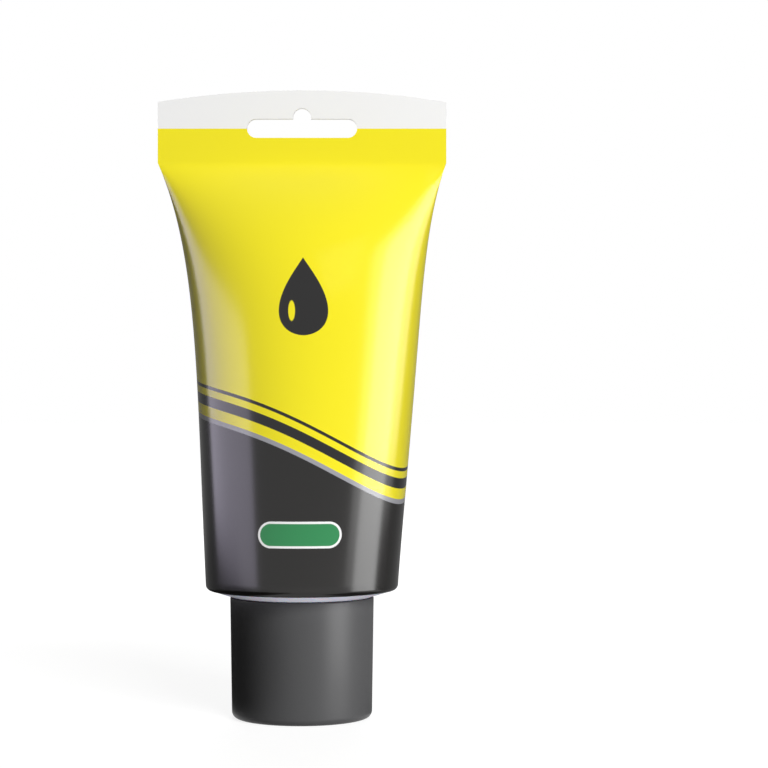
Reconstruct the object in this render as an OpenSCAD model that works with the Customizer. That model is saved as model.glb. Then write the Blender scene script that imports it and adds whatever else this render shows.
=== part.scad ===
// Squeeze tube of grease that stands on its screw cap.
// A round plastic sleeve flattens upwards into a welded seal with a hang slot.
// Its lower lip is rolled round a moulded shoulder with a threaded neck.
// The neck is closed by a foil membrane and by a disc that lies in the cap.
// Origin: middle of the flat end of the cap. Z points up, the front looks to -Y.

/* [Sleeve] */
// Outer diameter of the round end of the sleeve
sleeve_d = 45; // [40:0.5:50]
// Thickness of the sleeve wall
sleeve_wall = 0.5; // [0.35:0.05:0.8]
// Length from the rolled lip to the foot of the flat seal
sleeve_len = 99.9; // [80:0.1:130]
// Outer radius of the rolled lip
lip_r = 1.3; // [1.1:0.1:2.4]
// Share of the widening that is an even taper
taper_share = 0.55; // [0.3:0.05:0.9]
// How late the rest of the widening flares out
flare_power = 6.5; // [3:0.5:8]
// Share of its depth that the sleeve loses evenly on the way up
slimming = 0.2; // [0:0.05:0.4]
// How far up the sleeve stays deep before it closes
fullness = 9; // [4:0.5:12]
// How softly the sleeve closes at the seal
closing = 1.4; // [0.9:0.05:1.8]
// How sharply the side edges are pinched below the seal
pinch = 0.2; // [0:0.05:0.6]
// Bow of the soft sleeve to the side between the lip and the seal
lean = 1; // [0:0.1:1.5]

/* [Flat seal] */
// Width of the flat seal
seal_w = 67.6; // [58:0.1:76]
// Height of the flat seal at its side edges
seal_h = 14.3; // [12:0.1:20]
// Rise of the arched top edge in the middle
seal_rise = 2.7; // [0.5:0.1:5]

/* [Hang slot] */
// Length of the slot
slot_w = 25.8; // [18:0.1:32]
// Height of the slot
slot_h = 4.4; // [4.2:0.1:5.5]
// Radius of the round notch in the middle of the slot
notch_r = 2.1; // [1.5:0.1:3]
// Height of the notch above the slot
notch_rise = 2.5; // [0.5:0.1:3.5]
// Strip left between the notch and the top edge
slot_web = 4.2; // [3:0.1:5.5]

/* [Shoulder and neck] */
// Slope of the shoulder cone in degrees
shoulder_slope = 17.5; // [10:0.5:22]
// Thickness of the shoulder
shoulder_t = 1.3; // [0.9:0.1:2]
// Height of the rim that is welded inside the sleeve
weld_h = 2.6; // [1.5:0.1:5]
// Diameter of the neck at the root of its thread
neck_d = 16.2; // [14:0.1:18]
// Length of the neck from the shoulder cone to its mouth
neck_len = 8.3; // [6:0.1:12]
// Wall of the neck
neck_wall = 1.8; // [1.2:0.1:2.5]
// Diameter of the opening in the mouth
mouth_d = 8; // [5:0.1:9]
// Thickness of the lip round that opening
mouth_t = 1.2; // [0.8:0.1:2]
// Bevel on the outer edge of the mouth
mouth_bevel = 0.5; // [0.2:0.1:0.8]

/* [Cap] */
// Height of the cap
cap_h = 28.2; // [24:0.1:36]
// Outer diameter of the cap at its open rim
cap_open_d = 33.6; // [31:0.1:37]
// Outer diameter of the cap at its closed end
cap_end_d = 32.8; // [30:0.1:36]
// Thickness of the skirt
cap_wall = 1.5; // [1:0.1:2]
// Thickness of the closed end
end_t = 2; // [1.2:0.1:3]
// Radius of the edge round the closed end
end_edge_r = 1.6; // [0.5:0.1:2.5]
// Radius of the outer edge of the open rim
rim_edge_r = 0.3; // [0.2:0.05:0.45]
// Wall of the threaded socket inside the cap
socket_wall = 1.5; // [1:0.1:2]
// Diameter of the well below the sealing disc
well_d = 13; // [10:0.1:15]
// Number of ribs that tie the socket to the skirt
rib_count = 6; // [3:1:10]
// Thickness of a rib
rib_t = 1.2; // [0.8:0.1:2]

/* [Seals and filling] */
// Thickness of the foil membrane over the mouth
membrane_t = 0.2; // [0.1:0.05:0.4]
// Thickness of the sealing disc in the cap
liner_t = 1.2; // [0.8:0.1:2]
// Height of the empty space between the grease and the flat seal
headspace = 33; // [15:0.5:50]

/* [Fits] */
// Weld line between the sleeve and the shoulder
weld_gap = 0.1; // [0.05:0.05:0.2]
// Gap between the rim of the closed cap and the shoulder above it
rim_gap = 0.15; // [0.1:0.05:0.6]
// Depth left for the thread between the neck and the socket
thread_depth = 0.9; // [0.6:0.1:1.2]
// Play between the thread crests and the wall opposite
thread_play = 0.3; // [0.2:0.05:0.5]
// Play of the sealing disc in the socket
liner_play = 0.3; // [0.15:0.05:0.5]
// Edge of the mouth that the membrane leaves free
membrane_inset = 0.1; // [0:0.05:0.3]
// Film between the grease and the walls round it
fill_gap = 0.2; // [0.15:0.05:0.3]

/* [Hidden] */
$fn = 72;

sides = 72;
wall_steps = 30;
inner_steps = 16;
fill_steps = 14;
lip_steps = 5;
edge_steps = 8;
overlap = 0.3;
cavity_end = 0.97;

sleeve_r = sleeve_d / 2;
lip_in_r = sleeve_r - lip_r;
cap_open_r = cap_open_d / 2;
cap_end_r = cap_end_d / 2;

neck_r = neck_d / 2;
bore_r = neck_r - neck_wall;
mouth_r = mouth_d / 2;
socket_r = neck_r + thread_depth + thread_play;
socket_out_r = socket_r + socket_wall;
liner_r = socket_r - liner_play;
membrane_r = neck_r - mouth_bevel - membrane_inset;

// The shoulder clears the rim of the cap, and everything above follows it.
cone_rise = tan(shoulder_slope);
rim_mid_r = cap_open_r - rim_edge_r;
rim_mid_z = cap_h - rim_edge_r;
rim_lift = rim_edge_r / cos(shoulder_slope);
lip_z = rim_mid_z + rim_lift + rim_gap + (lip_in_r - rim_mid_r) * cone_rise;
lip_top = lip_z + lip_r;
foot_z = lip_z + sleeve_len;
top_z = foot_z + seal_h + seal_rise;
arch_r = (pow(seal_w / 2, 2) + pow(seal_rise, 2)) / (2 * seal_rise);
slot_z = top_z - slot_web - notch_rise - slot_h / 2;

// Heights of the neck, its seals and the socket that takes them.
shoulder_drop = shoulder_t / cos(shoulder_slope);
mouth_z = cone_z(neck_r) - neck_len;
liner_top = mouth_z - membrane_t;
ledge_z = liner_top - liner_t;
socket_top = cone_z(socket_r) - rim_gap;
rib_top = ledge_z;
weld_top = lip_top + weld_h;
rim_out_r = half_depth(weld_h / (foot_z - lip_top)) - weld_gap;
rim_in_r = rim_out_r - shoulder_t;

// Height of the outside of the shoulder cone at radius r.
function cone_z(r) = lip_z - (lip_in_r - r) * cone_rise;

// Outer radius of the cap skirt at height z.
function skirt_r(z) = cap_end_r + (cap_open_r - cap_end_r) * (z - end_edge_r) / (cap_h - end_edge_r);

// Points of an arc in the profile plane from angle a to angle b.
function arc(x, z, r, a, b) = [
    for (i = [0 : edge_steps])
        let (t = a + (b - a) * i / edge_steps)
        [x + r * cos(t), z + r * sin(t)]
];

// Height of the sleeve at the share u of its way from the lip to the seal.
function sleeve_z(u) = lip_top + (foot_z - lip_top) * u;

// Half the width of the sleeve, an even taper with a late flare.
function half_width(u) =
    sleeve_r + (seal_w / 2 - sleeve_r)
    * (taper_share * u + (1 - taper_share) * pow(u, flare_power));

// Half the depth of the space inside the sleeve. With these values the sleeve
// keeps about the same girth from its round end to the seal, as a real one does.
function half_depth(u) =
    (sleeve_r - sleeve_wall) * (1 - slimming * u) * pow(1 - pow(u, fullness), closing);

// Sideways bow of the sleeve, none at the lip and none at the seal.
function bow(u) = lean * sin(180 * pow(u, 1.3));

// One ring of the sleeve. The skin lies outside the space by its own thickness,
// in a flat strip at the seal and evenly all round at the lip.
function sleeve_ring(u, skin, inset) = [
    for (i = [0 : sides - 1])
        let (t = 360 * i / sides)
        let (s = sin(t))
        let (space = (half_depth(u) - inset) * pow(abs(s), 1 + pinch * pow(u, 3)))
        [
            bow(u) + (half_width(u) - sleeve_wall + skin - inset) * cos(t),
            sign(s) * (space + skin * pow(abs(s), 1 - u)),
            sleeve_z(u)
        ]
];

// A level round ring.
function round_ring(r, z) = [
    for (i = [0 : sides - 1])
        [r * cos(360 * i / sides), r * sin(360 * i / sides), z]
];

// Rings of the rolled lip at the distance off from its outer face.
function lip_rings(off) = [
    for (i = [0 : lip_steps - 1])
        let (t = 90 - 90 * i / lip_steps)
        round_ring(lip_in_r + (lip_r - off) * cos(t), lip_top - (lip_r - off) * sin(t))
];

// Top edge of the flat seal, an arch over its width.
function seal_edge() = [
    for (p = sleeve_ring(1, sleeve_wall, 0))
        [p[0], p[1], top_z - arch_r + sqrt(pow(arch_r, 2) - pow(p[0], 2))]
];

// Shares of the way up, closer together towards the seal.
function upward(steps, last) = [
    for (k = [0 : steps])
        last * (1 - pow(1 - k / steps, 1.5))
];

function backwards(list) = [for (i = [len(list) - 1 : -1 : 0]) list[i]];

// Outside of the sleeve from its lip to the top of the seal.
function outer_rings() = concat(
    lip_rings(0),
    [for (u = upward(wall_steps, 1)) sleeve_ring(u, sleeve_wall, 0)],
    [seal_edge()]
);

// Inside of the sleeve from its lip to the end of the cavity.
function inner_rings() = concat(
    lip_rings(sleeve_wall),
    [for (u = upward(inner_steps, cavity_end)) sleeve_ring(u, 0, 0)]
);

// Strip of faces that closes a ring from its front half to its back half.
function closing_strip(first) = concat(
    [[first, first + sides - 1, first + 1]],
    [
        for (i = [1 : sides / 2 - 2])
            [first + i, first + sides - i, first + sides - i - 1, first + i + 1]
    ],
    [[first + sides / 2 - 1, first + sides / 2 + 1, first + sides / 2]]
);

// Solid skinned over a row of rings and closed at both ends.
module loft(rings) {
    last = (len(rings) - 1) * sides;
    walls = [
        for (k = [0 : len(rings) - 2])
            for (i = [0 : sides - 1])
                let (a = k * sides + i)
                let (b = k * sides + (i + 1) % sides)
                each [[a, a + sides, b + sides], [a, b + sides, b]]
    ];
    bottom = [for (f = closing_strip(0)) backwards(f)];
    polyhedron(points = [for (r = rings) each r], faces = concat(walls, bottom, closing_strip(last)));
}

// Cutter for the hang slot with its notch.
module slot_cutter() {
    half = slot_w / 2 - slot_h / 2;
    translate([0, 0, slot_z])
        rotate([90, 0, 0])
            linear_extrude(8 * sleeve_wall, center = true) {
                square([2 * half, slot_h], center = true);
                translate([-half, 0])
                    circle(d = slot_h);
                translate([half, 0])
                    circle(d = slot_h);
                translate([0, slot_h / 2 + notch_rise - notch_r])
                    circle(r = notch_r);
                translate([-notch_r, 0])
                    square([2 * notch_r, slot_h / 2 + notch_rise - notch_r]);
            }
}

// Printed plastic sleeve with its rolled lip, its flat seal and the slot.
module tube_sleeve() {
    color([0.97, 0.9, 0.2])
        difference() {
            loft(concat(backwards(inner_rings()), outer_rings()));
            slot_cutter();
        }
}

// Moulded shoulder, welded inside the lip of the sleeve, with the neck.
module shoulder_neck() {
    seat_r = lip_in_r - weld_gap;
    color([0.82, 0.8, 0.86])
        rotate_extrude()
            polygon(concat(
                [
                    [mouth_r, mouth_z],
                    [neck_r - mouth_bevel, mouth_z],
                    [neck_r, mouth_z + mouth_bevel],
                    [neck_r, cone_z(neck_r)],
                    [seat_r, cone_z(seat_r)],
                    [seat_r, lip_z + sleeve_wall + weld_gap]
                ],
                arc(lip_in_r, lip_top, lip_r - sleeve_wall - weld_gap, -90, 0),
                [
                    [rim_out_r, weld_top],
                    [rim_in_r, weld_top],
                    [rim_in_r, cone_z(rim_in_r) + shoulder_drop],
                    [bore_r, cone_z(bore_r) + shoulder_drop],
                    [bore_r, mouth_z + mouth_t],
                    [mouth_r, mouth_z + mouth_t]
                ]
            ));
}

// Foil membrane on the mouth of the neck.
module mouth_membrane() {
    color([0.78, 0.79, 0.8])
        translate([0, 0, liner_top])
            cylinder(r = membrane_r, h = membrane_t);
}

// Grease in the neck, the shoulder and the sleeve.
module grease_fill() {
    low_z = weld_top + fill_gap;
    low_u = (low_z - lip_top) / (foot_z - lip_top);
    high_u = 1 - headspace / (foot_z - lip_top);
    cone_gap = shoulder_drop + fill_gap;
    neck_fill_r = bore_r - fill_gap;
    rim_fill_r = rim_in_r - fill_gap;
    color([0.13, 0.13, 0.14]) {
        loft([
            for (k = [0 : fill_steps])
                sleeve_ring(low_u + (high_u - low_u) * k / fill_steps, 0, fill_gap)
        ]);
        rotate_extrude()
            polygon([
                [0, mouth_z + fill_gap],
                [mouth_r - fill_gap, mouth_z + fill_gap],
                [mouth_r - fill_gap, mouth_z + mouth_t + fill_gap],
                [neck_fill_r, mouth_z + mouth_t + fill_gap],
                [neck_fill_r, cone_z(neck_fill_r) + cone_gap],
                [rim_fill_r, cone_z(rim_fill_r) + cone_gap],
                [rim_fill_r, low_z + overlap],
                [0, low_z + overlap]
            ]);
    }
}

// Sealing disc that lies on the ledge in the socket of the cap.
module cap_liner() {
    color([0.93, 0.93, 0.9])
        translate([0, 0, ledge_z])
            cylinder(r = liner_r, h = liner_t);
}

// One rib between the socket and the skirt.
module cap_rib() {
    rotate([90, 0, 0])
        linear_extrude(rib_t, center = true)
            polygon([
                [socket_out_r - overlap, end_t - overlap],
                [skirt_r(end_t) - cap_wall / 2, end_t - overlap],
                [skirt_r(rib_top) - cap_wall / 2, rib_top],
                [socket_out_r - overlap, rib_top]
            ]);
}

// Moulded screw cap with a skirt, a flat end, a threaded socket and ribs.
module screw_cap() {
    color([0.2, 0.2, 0.21]) {
        rotate_extrude()
            polygon(concat(
                [[0, 0]],
                arc(cap_end_r - end_edge_r, end_edge_r, end_edge_r, -90, 0),
                arc(rim_mid_r, rim_mid_z, rim_edge_r, 0, 90 + shoulder_slope),
                [
                    [cap_open_r - cap_wall, rim_mid_z + rim_lift - (cap_wall - rim_edge_r) * cone_rise],
                    [skirt_r(end_t) - cap_wall, end_t],
                    [socket_out_r, end_t],
                    [socket_out_r, socket_top],
                    [socket_r + thread_play, socket_top],
                    [socket_r, socket_top - thread_play],
                    [socket_r, ledge_z],
                    [well_d / 2, ledge_z],
                    [well_d / 2, end_t],
                    [0, end_t]
                ]
            ));
        for (i = [0 : rib_count - 1])
            rotate([0, 0, 360 * i / rib_count])
                cap_rib();
    }
}

screw_cap();
cap_liner();
shoulder_neck();
mouth_membrane();
tube_sleeve();
grease_fill();
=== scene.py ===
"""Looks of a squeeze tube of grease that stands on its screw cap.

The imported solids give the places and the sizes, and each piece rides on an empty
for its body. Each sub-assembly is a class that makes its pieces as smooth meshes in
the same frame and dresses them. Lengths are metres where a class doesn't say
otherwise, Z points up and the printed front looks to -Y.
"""

import logging
import math
from dataclasses import dataclass
from enum import Enum

import bmesh
import bpy
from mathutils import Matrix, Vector


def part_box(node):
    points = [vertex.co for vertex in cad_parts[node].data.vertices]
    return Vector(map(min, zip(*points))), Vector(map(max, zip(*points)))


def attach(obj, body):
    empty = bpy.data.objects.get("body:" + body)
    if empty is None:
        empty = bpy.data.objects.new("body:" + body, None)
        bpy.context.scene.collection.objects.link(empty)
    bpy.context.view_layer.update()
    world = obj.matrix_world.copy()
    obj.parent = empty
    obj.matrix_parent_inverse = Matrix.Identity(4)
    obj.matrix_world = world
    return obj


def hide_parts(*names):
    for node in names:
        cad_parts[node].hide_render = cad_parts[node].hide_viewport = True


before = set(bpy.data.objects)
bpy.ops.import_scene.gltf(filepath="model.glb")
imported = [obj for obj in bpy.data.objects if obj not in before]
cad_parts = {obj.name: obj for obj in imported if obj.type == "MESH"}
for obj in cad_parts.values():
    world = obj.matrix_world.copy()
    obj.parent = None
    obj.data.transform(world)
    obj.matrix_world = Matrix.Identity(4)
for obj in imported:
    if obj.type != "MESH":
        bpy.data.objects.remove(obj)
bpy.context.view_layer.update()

LOG = logging.getLogger("tube")
MM = 0.001

Colour = tuple[float, float, float, float]
Point = tuple[float, float]
Spot = tuple[float, float, float]
Material = bpy.types.Material
Mesh = bpy.types.Mesh
Object = bpy.types.Object
Outputs = bpy.types.NodeOutputs
Socket = bpy.types.NodeSocket
Tree = bpy.types.NodeTree


class Body(Enum):
    """Bodies that the new pieces ride on."""

    CAP = "cap"
    TUBE = "tube"


class Slot(Enum):
    """Names of material slots that the new pieces are handed over with."""

    CAP = "cap_plastic"
    SHOULDER = "shoulder_plastic"
    SLEEVE = "sleeve_print"


class Side(Enum):
    """Side of a wall."""

    OUTSIDE = 1
    INSIDE = -1


class Rays(Enum):
    """Rays that a lamp is seen by."""

    MATT = "matt"
    GLOSS = "gloss"


class Reach(Enum):
    """What a lamp lights: all pieces, the cap alone or all but the cap."""

    ALL = ""
    CAP = "INCLUDE"
    TUBE = "EXCLUDE"


def screen(red: int, green: int, blue: int) -> Colour:
    """Turns a screen colour into the linear colour that a shader takes.

    Args:
        red: Red from 0 to 255.
        green: Green from 0 to 255.
        blue: Blue from 0 to 255.

    Returns:
        The linear colour with full alpha.
    """
    parts = []
    for value in (red, green, blue):
        share = value / 255
        parts.append(share / 12.92 if share <= 0.04045 else ((share + 0.055) / 1.055) ** 2.4)
    return (parts[0], parts[1], parts[2], 1.0)


def shade(colour: Colour, factor: float) -> Colour:
    """Makes a colour darker or lighter by a factor."""
    red, green, blue = (min(1.0, part * factor) for part in colour[:3])
    return (red, green, blue, 1.0)


class NodeSheet:
    """Shorthand for laying out the nodes of one tree."""

    def __init__(self, tree: Tree) -> None:
        """Keeps the tree that the nodes go into."""
        self.tree = tree

    def add(
        self,
        kind: str,
        inputs: dict[str | int, object] | None = None,
        settings: dict[str, object] | None = None,
    ) -> bpy.types.Node:
        """Adds a node and fills its inputs.

        Args:
            kind: Type name of the node.
            inputs: Values or output sockets by the input's name or number.
            settings: Properties of the node itself, set before the inputs.

        Returns:
            The new node.
        """
        node = self.tree.nodes.new(kind)
        for name, value in (settings or {}).items():
            setattr(node, name, value)
        for key, value in (inputs or {}).items():
            self.feed(node.inputs[key], value)
        return node

    def feed(self, socket: Socket, value: object) -> None:
        """Links an output to a socket, or sets the socket's own value.

        Args:
            socket: Input socket to fill.
            value: Output socket, number, vector or colour.
        """
        if isinstance(value, Socket):
            self.tree.links.new(value, socket)
        else:
            socket.default_value = value

    def calc(self, operation: str, *terms: object, clamp: bool = False) -> Socket:
        """Adds a Math node with its terms and gives its result."""
        settings = {"operation": operation, "use_clamp": clamp}
        return self.add("ShaderNodeMath", dict(enumerate(terms)), settings).outputs[0]

    def vector(self, operation: str, *terms: object) -> Outputs:
        """Adds a Vector Math node with its terms and gives its outputs."""
        settings = {"operation": operation}
        return self.add("ShaderNodeVectorMath", dict(enumerate(terms)), settings).outputs

    def combine(self, *parts: object) -> Socket:
        """Makes a vector of up to three parts."""
        return self.add("ShaderNodeCombineXYZ", dict(enumerate(parts))).outputs[0]

    def split(self, vector: Socket) -> Outputs:
        """Gives the three parts of a vector."""
        return self.add("ShaderNodeSeparateXYZ", {0: vector}).outputs

    def total(self, *terms: object) -> Socket:
        """Adds up any number of terms.

        Args:
            terms: Numbers or output sockets.

        Returns:
            The sum's socket.
        """
        result = terms[0]
        for term in terms[1:]:
            result = self.calc("ADD", result, term)
        return result

    def edge(self, distance: object, soft: float) -> Socket:
        """Makes a mask that is 1 above a distance of zero, with an edge of a given width."""
        return self.calc("MULTIPLY_ADD", distance, 1 / soft, 0.5, clamp=True)

    def band(self, distance: object, low: float, high: float, soft: float) -> Socket:
        """Makes a mask that is 1 where a distance lies between two values.

        Args:
            distance: Socket of the distance.
            low: Lower end of the band.
            high: Upper end of the band.
            soft: Width of its edges.

        Returns:
            The mask's socket.
        """
        above = self.edge(self.calc("SUBTRACT", distance, low), soft)
        below = self.edge(self.calc("SUBTRACT", high, distance), soft)
        return self.calc("MULTIPLY", above, below)

    def paint(self, mask: object, under: object, over: object) -> Socket:
        """Lays one colour over another through a mask."""
        inputs = {0: mask, 6: under, 7: over}
        return self.add("ShaderNodeMix", inputs, {"data_type": "RGBA"}).outputs[2]


class Effects:
    """Shader node groups that several finishes share, each built at its first use."""

    @staticmethod
    def start(
        name: str, numbers: dict[str, float], results: tuple[str, ...]
    ) -> tuple[Tree, NodeSheet, Outputs]:
        """Starts a group that takes coordinates and numbers.

        Args:
            name: Name of the group.
            numbers: Named inputs with their first values.
            results: Names of the outputs.

        Returns:
            The group, its node sheet and what it is given.
        """
        tree = bpy.data.node_groups.new(name, "ShaderNodeTree")
        ports = tree.interface
        ports.new_socket("Vector", in_out="INPUT", socket_type="NodeSocketVector")
        for label, value in numbers.items():
            port = ports.new_socket(label, in_out="INPUT", socket_type="NodeSocketFloat")
            port.default_value = value
        for label in results:
            ports.new_socket(label, in_out="OUTPUT", socket_type="NodeSocketFloat")
        sheet = NodeSheet(tree)
        return tree, sheet, sheet.add("NodeGroupInput").outputs

    @staticmethod
    def moulded_skin() -> Tree:
        """Builds the fine skin of moulded or extruded plastic.

        Returns:
            A group that gives a bump height, an uneven roughness and broad patches.
        """
        name = "moulded_skin"
        if name in bpy.data.node_groups:
            return bpy.data.node_groups[name]
        numbers = {"Grain": 900.0, "Patch": 40.0, "Roughness": 0.4, "Spread": 0.1}
        tree, sheet, given = Effects.start(name, numbers, ("Height", "Roughness", "Patches"))
        fine, broad = (
            sheet.add(
                "ShaderNodeTexNoise",
                {"Vector": given["Vector"], "Scale": given[scale], "Detail": detail},
            ).outputs[0]
            for scale, detail in (("Grain", 2.0), ("Patch", 3.0))
        )
        lift = sheet.calc("MULTIPLY", sheet.calc("SUBTRACT", broad, 0.5), given["Spread"])
        swing = sheet.calc("MULTIPLY", lift, 2.0)
        rough = sheet.calc("ADD", given["Roughness"], swing, clamp=True)
        sheet.add("NodeGroupOutput", {"Height": fine, "Roughness": rough, "Patches": broad})
        return tree

    @staticmethod
    def hair_scratches() -> Tree:
        """Builds the faint hair scratches of a handled surface.

        Returns:
            A group that gives a mask of thin broken lines.
        """
        name = "hair_scratches"
        if name in bpy.data.node_groups:
            return bpy.data.node_groups[name]
        tree, sheet, given = Effects.start(name, {"Scale": 120.0, "Amount": 0.3}, ("Mask",))
        place = given["Vector"]
        turned = sheet.add(
            "ShaderNodeMapping",
            {"Vector": place, "Rotation": (0.3, 0.5, 0.7), "Scale": (1.0, 0.06, 1.0)},
        ).outputs[0]
        lines = sheet.add(
            "ShaderNodeTexNoise",
            {"Vector": turned, "Scale": given["Scale"], "Detail": 4.0, "Distortion": 0.4},
        ).outputs[0]
        thin = sheet.band(lines, low=0.485, high=0.515, soft=0.02)
        broken = sheet.add("ShaderNodeTexNoise", {"Vector": place, "Scale": 60.0}).outputs[0]
        places = sheet.edge(sheet.calc("SUBTRACT", broken, 0.58), soft=0.1)
        mask = sheet.calc("MULTIPLY", sheet.calc("MULTIPLY", thin, places), given["Amount"])
        sheet.add("NodeGroupOutput", {"Mask": mask})
        return tree


@dataclass(frozen=True)
class Skin:
    """Grain and gloss of one plastic surface.

    Grain and patch are the scales of the fine and of the broad noise, spread is
    how far the roughness strays, and depth is the height of the grain.
    """

    grain: float = 900.0
    patch: float = 40.0
    roughness: float = 0.4
    spread: float = 0.1
    depth: float = 0.02 * MM
    strength: float = 0.3
    scratches: float = 0.25

    def dress(self, sheet: NodeSheet, shader: bpy.types.Node, place: Socket) -> Socket:
        """Feeds the roughness and the normal of a shader.

        Args:
            sheet: Node sheet of the material.
            shader: Principled shader to feed.
            place: Coordinates of the surface.

        Returns:
            A socket of broad patches for the colour to use.
        """
        skin = sheet.add(
            "ShaderNodeGroup",
            {
                "Vector": place,
                "Grain": self.grain,
                "Patch": self.patch,
                "Roughness": self.roughness,
                "Spread": self.spread,
            },
            {"node_tree": Effects.moulded_skin()},
        ).outputs
        marks = sheet.add(
            "ShaderNodeGroup",
            {"Vector": place, "Amount": self.scratches},
            {"node_tree": Effects.hair_scratches()},
        ).outputs
        rough = sheet.calc("ADD", skin["Roughness"], marks["Mask"], clamp=True)
        sheet.feed(shader.inputs["Roughness"], rough)
        bump = sheet.add(
            "ShaderNodeBump",
            {"Strength": self.strength, "Distance": self.depth, "Height": skin["Height"]},
        )
        sheet.feed(shader.inputs["Normal"], bump.outputs[0])
        return skin["Patches"]


class Finish:
    """Start of every finish."""

    @staticmethod
    def blank(name: str) -> tuple[Material, NodeSheet]:
        """Makes a material without nodes.

        Args:
            name: Name of the material.

        Returns:
            The material and its node sheet.
        """
        material = bpy.data.materials.new(name)
        material.use_nodes = True
        material.node_tree.nodes.clear()
        return material, NodeSheet(material.node_tree)

    @staticmethod
    def start(name: str) -> tuple[Material, NodeSheet, bpy.types.Node, Socket]:
        """Makes a material with one Principled shader.

        Args:
            name: Name of the material.

        Returns:
            The material, its node sheet, the shader and the Object coordinates.
        """
        material, sheet = Finish.blank(name)
        shader = sheet.add("ShaderNodeBsdfPrincipled")
        sheet.add("ShaderNodeOutputMaterial", {"Surface": shader.outputs[0]})
        place = sheet.add("ShaderNodeTexCoord").outputs["Object"]
        return material, sheet, shader, place


@dataclass(frozen=True)
class Plastic(Finish):
    """Moulded plastic of one colour.

    The mottle is the share by which the colour strays, and soft is the share of
    light that sinks in.
    """

    name: str
    colour: Colour
    mottle: float = 0.06
    skin: Skin = Skin()
    ior: float = 1.46
    shine: float = 0.5
    soft: float = 0.0
    soft_depth: float = 2.0 * MM

    def material(self) -> Material:
        """Builds the material.

        Returns:
            The new material.
        """
        material, sheet, shader, place = self.start(self.name)
        shader.inputs["IOR"].default_value = self.ior
        shader.inputs["Specular IOR Level"].default_value = self.shine
        if self.soft:
            shader.inputs["Subsurface Weight"].default_value = self.soft
            shader.inputs["Subsurface Scale"].default_value = self.soft_depth
        patches = self.skin.dress(sheet, shader, place)
        dark, pale = shade(self.colour, 1 - self.mottle), shade(self.colour, 1 + self.mottle)
        sheet.feed(shader.inputs["Base Color"], sheet.paint(patches, dark, pale))
        return material


@dataclass(frozen=True)
class Foil(Finish):
    """Dull aluminium foil with fine rolling lines."""

    name: str = "membrane_foil"
    colour: Colour = screen(205, 206, 210)
    dulling: float = 0.86
    drawn: Spot = (40.0, 1600.0, 40.0)
    line_share: float = 0.6
    patch_share: float = 0.4
    skin: Skin = Skin(grain=500.0, roughness=0.34, depth=0.03 * MM, strength=0.4)

    def material(self) -> Material:
        """Builds the material.

        Returns:
            The new material.
        """
        material, sheet, shader, place = self.start(self.name)
        shader.inputs["Metallic"].default_value = 1.0
        drawn = sheet.add("ShaderNodeMapping", {"Vector": place, "Scale": self.drawn}).outputs[0]
        lines = sheet.add("ShaderNodeTexNoise", {"Vector": drawn, "Scale": 1.0, "Detail": 3.0})
        patches = sheet.calc("MULTIPLY", self.skin.dress(sheet, shader, place), self.patch_share)
        tone = sheet.calc("MULTIPLY_ADD", lines.outputs[0], self.line_share, patches)
        colour = sheet.paint(tone, shade(self.colour, self.dulling), self.colour)
        sheet.feed(shader.inputs["Base Color"], colour)
        return material


@dataclass(frozen=True)
class GreaseMass(Finish):
    """Soft dark grease with a wet skin and graphite specks."""

    name: str = "graphite_grease"
    colour: Colour = screen(38, 38, 40)
    speck: Colour = screen(92, 92, 96)
    speck_scale: float = 1400.0
    speck_size: float = 0.16
    speck_soft: float = 0.06
    ior: float = 1.48
    skin: Skin = Skin(
        grain=260.0, patch=90.0, roughness=0.24, spread=0.16, depth=0.3 * MM, strength=0.5
    )

    def material(self) -> Material:
        """Builds the material.

        Returns:
            The new material.
        """
        material, sheet, shader, place = self.start(self.name)
        shader.inputs["IOR"].default_value = self.ior
        self.skin.dress(sheet, shader, place)
        cells = sheet.add("ShaderNodeTexVoronoi", {"Vector": place, "Scale": self.speck_scale})
        inside = sheet.calc("SUBTRACT", self.speck_size, cells.outputs["Distance"])
        specks = sheet.edge(inside, self.speck_soft)
        sheet.feed(shader.inputs["Base Color"], sheet.paint(specks, self.colour, self.speck))
        return material


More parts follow.
